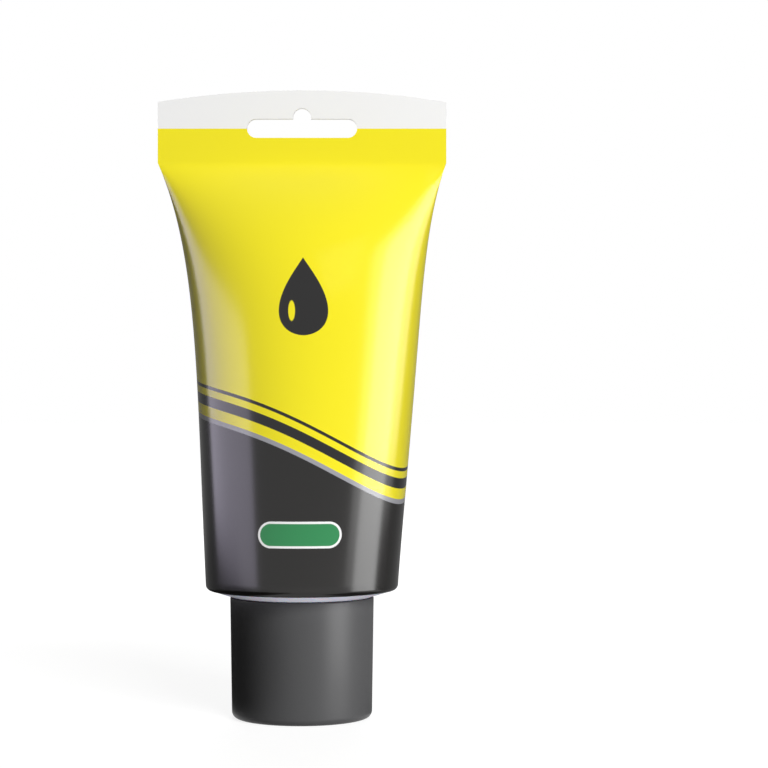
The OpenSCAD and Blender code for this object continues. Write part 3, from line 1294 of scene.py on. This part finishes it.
@dataclass
class Sleeve:
    """Printed plastic sleeve with its rolled lip, its flat seal and the hang slot.

    On the way up the width grows by an even taper, which has its share of the
    growth, and by a late flare. The depth slims a little, stays full and then
    closes at the seal. The pinch sharpens the side edges, and the lean bows the
    whole sleeve to the side.
    """

    wall: float = 0.5 * MM
    lip: float = 1.3 * MM
    taper_share: float = 0.55
    flare_power: float = 6.5
    slimming: float = 0.2
    fullness: float = 9.0
    closing: float = 1.4
    pinch: float = 0.2
    pinch_power: float = 3.0
    lean: float = 1.0 * MM
    lean_power: float = 1.3
    seal_h: float = 14.3 * MM
    seal_rise: float = 2.7 * MM
    slot_w: float = 25.8 * MM
    slot_h: float = 4.4 * MM
    notch_r: float = 2.1 * MM
    notch_rise: float = 2.5 * MM
    slot_web: float = 4.2 * MM
    cavity_end: float = 0.97
    crowding: float = 1.5
    segments: int = 192
    wall_rings: int = 110
    inner_rings: int = 28
    lip_rings: int = 10
    seal_rings: int = 6

    def __post_init__(self) -> None:
        """Takes the overall sizes from the solid's box."""
        low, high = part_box("tube_sleeve")
        self.radius = (high.y - low.y) / 2
        self.seal_half = (high.x - low.x) / 2
        self.lip_z = low.z
        self.top_z = high.z

    def shell(self, outside: Material, inside: Material) -> Object:
        """Makes the closed shell with its print chart, before the slot is cut.

        Args:
            outside: Print on the outside.
            inside: Bare film on the inside and on cut edges.

        Returns:
            The new object.
        """
        numbers = {
            "Radius": self.radius,
            "Seal half width": self.seal_half,
            "Seal rise": self.seal_rise,
            "Lip height": self.lip_z,
            "Lip radius": self.lip,
            "Foot height": self.top_z - self.seal_rise - self.seal_h,
            "Top height": self.top_z,
            "Wall": self.wall,
            "Chart reach": PrintedFilm.reach * MM,
            "Taper share": self.taper_share,
            "Flare power": self.flare_power,
            "Slimming": self.slimming,
            "Fullness": self.fullness,
            "Closing": self.closing,
            "Pinch": self.pinch,
            "Pinch power": self.pinch_power,
            "Lean": self.lean,
            "Lean power": self.lean_power,
            "Crowding": self.crowding,
            "Cavity end": self.cavity_end,
        }
        counts = {
            "Segments": self.segments,
            "Wall rings": self.wall_rings,
            "Inner rings": self.inner_rings,
            "Lip rings": self.lip_rings,
            "Seal rings": self.seal_rings,
        }
        tree = SleeveLoft(numbers, counts).build()
        finishes = {"Outside": outside, "Inside": inside}
        return Workshop.grow("printed_sleeve", tree, numbers | counts | finishes)

    def slot_cutter(self) -> Object:
        """Makes the cutter of the hang slot with its round notch.

        Returns:
            The new object.
        """
        end, notch = self.slot_h / 2, self.notch_r
        half = self.slot_w / 2 - end
        outline = Workshop.arc((half, 0.0), end, -90, 90, steps=20) + [(notch, end)]
        outline += Workshop.arc((0.0, end + self.notch_rise - notch), notch, 0, 180, steps=28)
        outline += [(-notch, end)] + Workshop.arc((-half, 0.0), end, 90, 270, steps=20)
        middle = self.top_z - self.slot_web - self.notch_rise - end
        reach = 4 * self.wall
        count = len(outline)
        points = [(x, y, middle + z) for y in (-reach, reach) for x, z in outline]
        faces = [(k, (k + 1) % count, count + (k + 1) % count, count + k) for k in range(count)]
        faces += [tuple(range(count)), tuple(range(2 * count - 1, count - 1, -1))]
        thing = Workshop.piece("slot_cutter", points, faces)
        Workshop.clean(thing.data)
        return thing

    def build(self, outside: Material, inside: Material) -> None:
        """Makes the sleeve, cuts its slot and hands it over.

        Args:
            outside: Print on the outside.
            inside: Bare film on the inside and on cut edges.
        """
        thing = self.shell(outside, inside)
        cutter = self.slot_cutter()
        cutter.data.materials.append(inside)
        cut = thing.modifiers.new("slot", "BOOLEAN")
        cut.operation = "DIFFERENCE"
        cut.solver = "EXACT"
        cut.material_mode = "TRANSFER"
        cut.object = cutter
        Workshop.bake(thing)
        Workshop.clean(thing.data)
        bpy.data.objects.remove(cutter)
        Workshop.smooth(thing.data, angle=35)
        Workshop.hand_over(thing, Body.TUBE, Slot.SLEEVE, "tube_sleeve")


@dataclass
class ShoulderNeck:
    """Moulded shoulder, welded inside the lip of the sleeve, with its threaded neck.

    The slope of the cone is in degrees. The skin is what lies outside the
    moulding: the wall of the sleeve and the weld line.
    """

    slope: float = 17.5
    thick: float = 1.3 * MM
    neck_r: float = 8.1 * MM
    neck_foot: float = 0.5 * MM
    bore_r: float = 6.3 * MM
    mouth_r: float = 4.0 * MM
    mouth_t: float = 1.2 * MM
    bevel: float = 0.5 * MM
    lip: float = Sleeve.lip
    weld_gap: float = 0.1 * MM
    weld_lean: float = 0.12 * MM
    skin: float = Sleeve.wall + weld_gap
    turns: float = 1.7
    segments: int = 160

    def __post_init__(self) -> None:
        """Takes the overall sizes from the solids' boxes."""
        low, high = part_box("shoulder_neck")
        self.mouth_z = low.z
        self.weld_top = high.z
        self.rim_r = high.x
        self.lip_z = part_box("tube_sleeve")[0].z
        self.lip_in_r = self.rim_r + self.skin - self.lip

    def cone_z(self, radius: float) -> float:
        """Gives the height of the outside of the shoulder cone at a radius."""
        return self.lip_z - (self.lip_in_r - radius) * math.tan(math.radians(self.slope))

    def profile(self) -> list[Point]:
        """Gives the profile of the moulding.

        Returns:
            Radius and height of each corner.
        """
        seat = self.lip_in_r - self.weld_gap
        lean = math.cos(math.radians(self.slope))
        drop = self.thick / lean
        outer = self.rim_r - self.weld_lean
        inner = outer - self.thick
        foot_r = self.neck_r + self.neck_foot
        foot = (foot_r, self.cone_z(foot_r) - self.neck_foot / lean)
        mouth = (self.neck_r - self.bevel, self.mouth_z + self.bevel)
        roll = (self.lip_in_r, self.lip_z + self.lip)
        floor = self.mouth_z + self.mouth_t
        corners = [(self.mouth_r, self.mouth_z)]
        corners += Workshop.arc(mouth, self.bevel, -90, 0, steps=6)
        corners += Workshop.arc(foot, self.neck_foot, 180, 90 + self.slope, steps=5)
        corners += [(seat, self.cone_z(seat)), (seat, self.lip_z + self.skin)]
        corners += Workshop.arc(roll, self.lip - self.skin, -90, 0, steps=8)
        corners += [(outer, self.weld_top), (inner, self.weld_top)]
        corners += [(radius, self.cone_z(radius) + drop) for radius in (inner, self.bore_r)]
        corners += [(self.bore_r, floor), (self.mouth_r, floor)]
        return corners

    def build(self, material: Material, thread: Thread) -> None:
        """Makes the moulding and the thread of its neck.

        Args:
            material: Finish of the moulding.
            thread: Thread that it shares with the cap.
        """
        thing = Workshop.turned("shoulder_moulding", self.profile(), self.segments)
        thing.data.materials.append(material)
        Workshop.smooth(thing.data, angle=40)
        Workshop.hand_over(thing, Body.TUBE, Slot.SHOULDER, "shoulder_neck")
        start = self.mouth_z + thread.start
        ridge = thread.ridge(
            "neck_thread", Side.OUTSIDE, self.neck_r, start, self.turns, material
        )
        Workshop.hand_over(ridge, Body.TUBE, Slot.SHOULDER)


@dataclass
class ScrewCap:
    """Screw cap with a plain skirt, a flat end, a threaded socket and ribs inside.

    The rim slopes as the shoulder above it does, and the socket stops short of the
    rim's height. The flat of the gate's mark is a share of its radius.
    """

    open_r: float = 16.8 * MM
    end_r: float = 16.4 * MM
    wall: float = 1.5 * MM
    end_t: float = 2.0 * MM
    end_edge: float = 1.6 * MM
    rim_edge: float = 0.3 * MM
    rim_slope: float = ShoulderNeck.slope
    socket_r: float = ShoulderNeck.neck_r + Thread.depth + Thread.play
    socket_wall: float = 1.5 * MM
    socket_short: float = 2.256 * MM
    socket_lead: float = Thread.play
    well_r: float = 6.5 * MM
    gate_r: float = 1.4 * MM
    gate_flat: float = 0.7
    gate_deep: float = 0.25 * MM
    rib_t: float = 1.2 * MM
    rib_sunk: float = 0.3 * MM
    ribs: int = 6
    rib_rows: int = 6
    turns: float = 1.4
    skirt_steps: int = 11
    segments: int = 192

    def __post_init__(self) -> None:
        """Takes the heights from the solids' boxes."""
        self.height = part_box("screw_cap")[1].z
        self.ledge_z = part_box("cap_liner")[0].z
        self.socket_top = self.height - self.socket_short
        self.socket_out = self.socket_r + self.socket_wall

    def skirt_r(self, height: float) -> float:
        """Gives the outer radius of the skirt at a height."""
        share = (height - self.end_edge) / (self.height - self.end_edge)
        return self.end_r + (self.open_r - self.end_r) * share

    def profile(self) -> list[Point]:
        """Gives the profile of the moulding with the mark of its gate.

        Returns:
            Radius and height of each corner.
        """
        lean = math.radians(self.rim_slope)
        edge = self.height - self.rim_edge
        step = (edge - self.end_edge) / self.skirt_steps
        heights = [self.end_edge + step * k for k in range(1, self.skirt_steps)]
        rim = (self.open_r - self.rim_edge, edge)
        fall = (self.wall - self.rim_edge) * math.tan(lean)
        foot = (self.end_r - self.end_edge, self.end_edge)
        corners = [(0.0, self.gate_deep), (self.gate_r * self.gate_flat, self.gate_deep)]
        corners += [(self.gate_r, 0.0)]
        corners += Workshop.arc(foot, self.end_edge, -90, 0, steps=12)
        corners += [(self.skirt_r(height), height) for height in heights]
        corners += Workshop.arc(rim, self.rim_edge, 0, 90 + self.rim_slope, steps=8)
        corners += [(self.open_r - self.wall, edge + self.rim_edge / math.cos(lean) - fall)]
        corners += [(self.skirt_r(self.end_t) - self.wall, self.end_t)]
        corners += [(self.socket_out, self.end_t), (self.socket_out, self.socket_top)]
        corners += [(self.socket_r + self.socket_lead, self.socket_top)]
        corners += [(self.socket_r, self.socket_top - self.socket_lead)]
        corners += [(self.socket_r, self.ledge_z), (self.well_r, self.ledge_z)]
        corners += [(self.well_r, self.end_t), (0.0, self.end_t)]
        return corners

    def build(self, material: Material, thread: Thread) -> list[Object]:
        """Makes the shell, the ribs and the thread of the socket.

        Args:
            material: Finish of the cap.
            thread: Thread that it shares with the neck.

        Returns:
            The three pieces of the cap.
        """
        thing = Workshop.turned("cap_shell", self.profile(), self.segments)
        thing.data.materials.append(material)
        Workshop.smooth(thing.data, angle=40)
        Workshop.hand_over(thing, Body.CAP, Slot.CAP, "screw_cap")
        numbers = {
            "Inner radius": self.socket_out - self.rib_sunk,
            "Outer radius": self.skirt_r(self.end_t) - self.wall / 2,
            "Thickness": self.rib_t,
            "Low": self.end_t - self.rib_sunk,
            "High": self.ledge_z,
        }
        counts = {"Count": self.ribs, "Rows": self.rib_rows}
        tree = GeometryTrees.rib_ring(numbers, counts)
        ribs = Workshop.grow("cap_ribs", tree, numbers | counts | {"Material": material})
        Workshop.hand_over(ribs, Body.CAP, Slot.CAP)
        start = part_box("shoulder_neck")[0].z + thread.start + thread.pitch / 2
        ridge = thread.ridge(
            "socket_thread", Side.INSIDE, self.socket_r, start, self.turns, material
        )
        Workshop.hand_over(ridge, Body.CAP, Slot.CAP)
        return [thing, ribs, ridge]


class Fillings:
    """Solids that keep their shape and only get a finish: the two seals and the grease."""

    def build(self, liner: Material, foil: Material, grease: Material) -> None:
        """Dresses the solids.

        Args:
            liner: Finish of the sealing disc.
            foil: Finish of the membrane.
            grease: Finish of the grease.
        """
        finishes = {"cap_liner": liner, "mouth_membrane": foil, "grease_fill": grease}
        for node, material in finishes.items():
            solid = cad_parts[node]
            solid.data.materials.clear()
            solid.data.materials.append(material)
            LOG.info("%s: solid with its finish", node)


@dataclass(frozen=True)
class Card:
    """Dark card that only shows in the reflections on the tube.

    Its two corners differ along two of the axes.
    """

    name: str
    low: Spot
    high: Spot
    glow: float

    def put_up(self) -> None:
        """Makes the card, which only glossy rays see."""
        first, second = [axis for axis in range(3) if self.low[axis] != self.high[axis]]
        points = [list(self.low) for _ in range(4)]
        points[1][first] = points[2][first] = self.high[first]
        points[2][second] = points[3][second] = self.high[second]
        thing = Workshop.piece(self.name, points, [(0, 1, 2, 3)])
        material, sheet = Finish.blank(self.name)
        light = sheet.add("ShaderNodeEmission", {"Strength": self.glow})
        sheet.add("ShaderNodeOutputMaterial", {"Surface": light.outputs[0]})
        thing.data.materials.append(material)
        thing.visible_camera = False
        thing.visible_diffuse = False
        thing.visible_transmission = False
        thing.visible_shadow = False


@dataclass(frozen=True)
class Lamp:
    """Soft rectangular lamp that looks at its target and is seen by one kind of rays.

    It stands at a turn to the right of the camera and a lift above the level,
    both in degrees and seen from its target. Its glow is the brightness of its face.
    """

    name: str
    turn: float
    lift: float
    far: float
    size: Point
    glow: float
    rays: Rays
    reach: Reach = Reach.ALL
    tint: Spot = (1.0, 1.0, 1.0)
    target: Spot = (0.0, 0.0, 0.075)

    def put_up(self) -> Object:
        """Makes the lamp.

        Returns:
            The new object.
        """
        data = bpy.data.lights.new(self.name, "AREA")
        data.shape = "RECTANGLE"
        data.size, data.size_y = self.size
        data.energy = self.glow * math.pi * self.size[0] * self.size[1]
        data.color = self.tint
        thing = bpy.data.objects.new(self.name, data)
        side, up = math.radians(self.turn), math.radians(self.lift)
        level = math.cos(up)
        aim = Vector((math.sin(side) * level, -math.cos(side) * level, math.sin(up)))
        thing.location = Vector(self.target) + aim * self.far
        thing.rotation_euler = aim.to_track_quat("Z", "Y").to_euler()
        thing.visible_camera = False
        thing.visible_diffuse = self.rays is Rays.MATT
        thing.visible_glossy = self.rays is Rays.GLOSS
        bpy.context.scene.collection.objects.link(thing)
        return thing


@dataclass
class Studio:
    """Pale floor, soft lamps, dark cards and the camera.

    The floor's glow grows from its first to its second value over the fade, which
    lies between two distances from the middle of the cap.
    """

    cap: list[Object]
    eye: Spot = (0.0192, -0.54, 0.078)
    lens: float = 108.0
    sensor: float = 36.0
    nearest: float = 0.01
    fill: float = 0.02
    floor_half: float = 4.0
    floor_grey: float = 0.24
    floor_glow: Point = (0.84, 1.0)
    floor_fade: Point = (0.08, 0.6)

    CARDS = (
        Card("wall_card", (-0.75, 0.35, 0.0005), (0.75, 0.35, 0.7), glow=0.26),
        Card("left_card", (-0.75, -0.15, 0.0005), (-0.02, 0.35, 0.0005), glow=0.16),
        Card("right_card", (-0.02, 0.02, 0.0005), (0.75, 0.35, 0.0005), glow=0.26),
        Card("foot_card", (0.0175, -0.04, 0.0005), (0.06, 0.02, 0.0005), glow=0.1),
        Card("cap_card", (-0.026, -0.045, 0.0005), (-0.026, 0.06, 0.0275), glow=0.03),
    )
    LAMPS = (
        Lamp(
            "key", turn=25, lift=32, far=0.9, size=(0.4, 0.4), glow=15.6,
            rays=Rays.MATT, reach=Reach.TUBE,
        ),
        Lamp("back", turn=180, lift=36, far=0.9, size=(0.5, 0.5), glow=6.5, rays=Rays.MATT),
        Lamp(
            "table_card", turn=0, lift=-90, far=0.0998, size=(0.09, 0.08), glow=1.3,
            rays=Rays.MATT, reach=Reach.TUBE, target=(0.03, -0.055, 0.1),
        ),
        Lamp(
            "left_box", turn=-82, lift=-1, far=0.5, size=(0.6, 0.2), glow=3.0,
            rays=Rays.GLOSS, reach=Reach.TUBE, tint=(1.0, 0.92, 1.18),
        ),
        Lamp(
            "right_box", turn=82, lift=14, far=0.5, size=(0.6, 0.42), glow=2.8,
            rays=Rays.GLOSS, reach=Reach.TUBE,
        ),
        Lamp(
            "right_core", turn=75, lift=0, far=0.13, size=(0.075, 0.165), glow=5.0,
            rays=Rays.GLOSS, reach=Reach.TUBE, target=(0.0, 0.0, 0.083),
        ),
        Lamp(
            "cap_key", turn=42, lift=20, far=0.9, size=(0.4, 0.4), glow=20.5,
            rays=Rays.MATT, reach=Reach.CAP,
        ),
        Lamp(
            "cap_core", turn=58, lift=-4, far=0.13, size=(0.08, 0.05), glow=16.0,
            rays=Rays.GLOSS, reach=Reach.CAP, target=(0.0, 0.0, 0.012),
        ),
    )

    def camera(self) -> None:
        """Puts the camera level in front of the tube."""
        data = bpy.data.cameras.new("camera")
        data.lens = self.lens
        data.sensor_width = self.sensor
        data.clip_start = self.nearest
        thing = bpy.data.objects.new("camera", data)
        thing.location = self.eye
        thing.rotation_euler = (math.radians(90), 0.0, 0.0)
        bpy.context.scene.collection.objects.link(thing)
        bpy.context.scene.camera = thing

    def cap_group(self, reach: Reach) -> bpy.types.Collection:
        """Gives the group that links lamps to the cap, or keeps them off it.

        Args:
            reach: What the lamps light.

        Returns:
            The group, made at its first use.
        """
        name = "lamps_" + reach.name.lower()
        if name not in bpy.data.collections:
            group = bpy.data.collections.new(name)
            for piece in self.cap:
                group.objects.link(piece)
            for entry in group.collection_objects:
                entry.light_linking.link_state = reach.value
        return bpy.data.collections[name]

    @staticmethod
    def shown(sheet: NodeSheet) -> Socket:
        """Gives the mask of the rays that see the white surroundings.

        Args:
            sheet: Node sheet of a material or of the world.

        Returns:
            The mask's socket.
        """
        path = sheet.add("ShaderNodeLightPath").outputs
        clear = sheet.calc("MAXIMUM", path["Is Camera Ray"], path["Is Transmission Ray"])
        return sheet.calc("MAXIMUM", clear, path["Is Glossy Ray"])

    def floor(self) -> None:
        """Lays the pale floor, which keeps the shadow of the tube."""
        half = self.floor_half
        corners = [(-half, -half, 0), (half, -half, 0), (half, half, 0), (-half, half, 0)]
        thing = Workshop.piece("floor", corners, [(0, 1, 2, 3)])
        material, sheet = Finish.blank("floor_paper")
        grey = (self.floor_grey, self.floor_grey, self.floor_grey, 1.0)
        matt = sheet.add("ShaderNodeBsdfDiffuse", {"Color": grey})
        shown = self.shown(sheet)
        place = sheet.add("ShaderNodeTexCoord").outputs["Object"]
        far = sheet.add(
            "ShaderNodeMapRange",
            {
                "Value": sheet.vector("LENGTH", place)["Value"],
                "From Min": self.floor_fade[0],
                "From Max": self.floor_fade[1],
                "To Min": self.floor_glow[0],
                "To Max": self.floor_glow[1],
            },
            {"interpolation_type": "SMOOTHSTEP"},
        )
        strength = sheet.calc("MULTIPLY", shown, far.outputs[0])
        glow = sheet.add("ShaderNodeEmission", {"Strength": strength})
        both = sheet.add("ShaderNodeAddShader", {0: matt.outputs[0], 1: glow.outputs[0]})
        sheet.add("ShaderNodeOutputMaterial", {"Surface": both.outputs[0]})
        thing.data.materials.append(material)

    def sky(self) -> None:
        """Makes a white background with a weaker even fill."""
        world = bpy.data.worlds.new("surroundings")
        world.use_nodes = True
        world.node_tree.nodes.clear()
        sheet = NodeSheet(world.node_tree)
        level = sheet.calc("MAXIMUM", self.shown(sheet), self.fill)
        white = {"Color": (1.0, 1.0, 1.0, 1.0), "Strength": level}
        back = sheet.add("ShaderNodeBackground", white)
        sheet.add("ShaderNodeOutputWorld", {"Surface": back.outputs[0]})
        bpy.context.scene.world = world

    def build(self) -> None:
        """Sets up the camera, the floor, the cards, the background and the lamps."""
        bpy.context.scene.view_settings.view_transform = "Standard"
        self.camera()
        self.floor()
        for card in self.CARDS:
            card.put_up()
        self.sky()
        for lamp in self.LAMPS:
            thing = lamp.put_up()
            if lamp.reach is not Reach.ALL:
                thing.light_linking.receiver_collection = self.cap_group(lamp.reach)


def main() -> None:
    """Builds the sub-assemblies in order."""
    logging.basicConfig(level=logging.INFO, format="%(message)s")
    satin = Skin(
        grain=1500.0, patch=45.0, roughness=0.42, spread=0.05,
        depth=0.03 * MM, strength=0.25, scratches=0.04,
    )
    foam = Skin(
        grain=2600.0, patch=120.0, roughness=0.7,
        depth=0.1 * MM, strength=0.6, scratches=0.0,
    )
    cap = Plastic("cap_plastic", screen(80, 80, 81), shine=0.24, skin=satin).material()
    shoulder = Plastic("shoulder_plastic", screen(226, 224, 238), soft=0.2, skin=satin).material()
    film = Plastic("bare_film", screen(238, 238, 240), skin=satin).material()
    liner = Plastic("liner_foam", screen(236, 235, 228), skin=foam).material()
    thread = Thread()

    Sleeve().build(PrintedFilm().material(), film)
    ShoulderNeck().build(shoulder, thread)
    Studio(ScrewCap().build(cap, thread)).build()
    Fillings().build(liner, Foil().material(), GreaseMass().material())


if __name__ == "__main__":
    main()
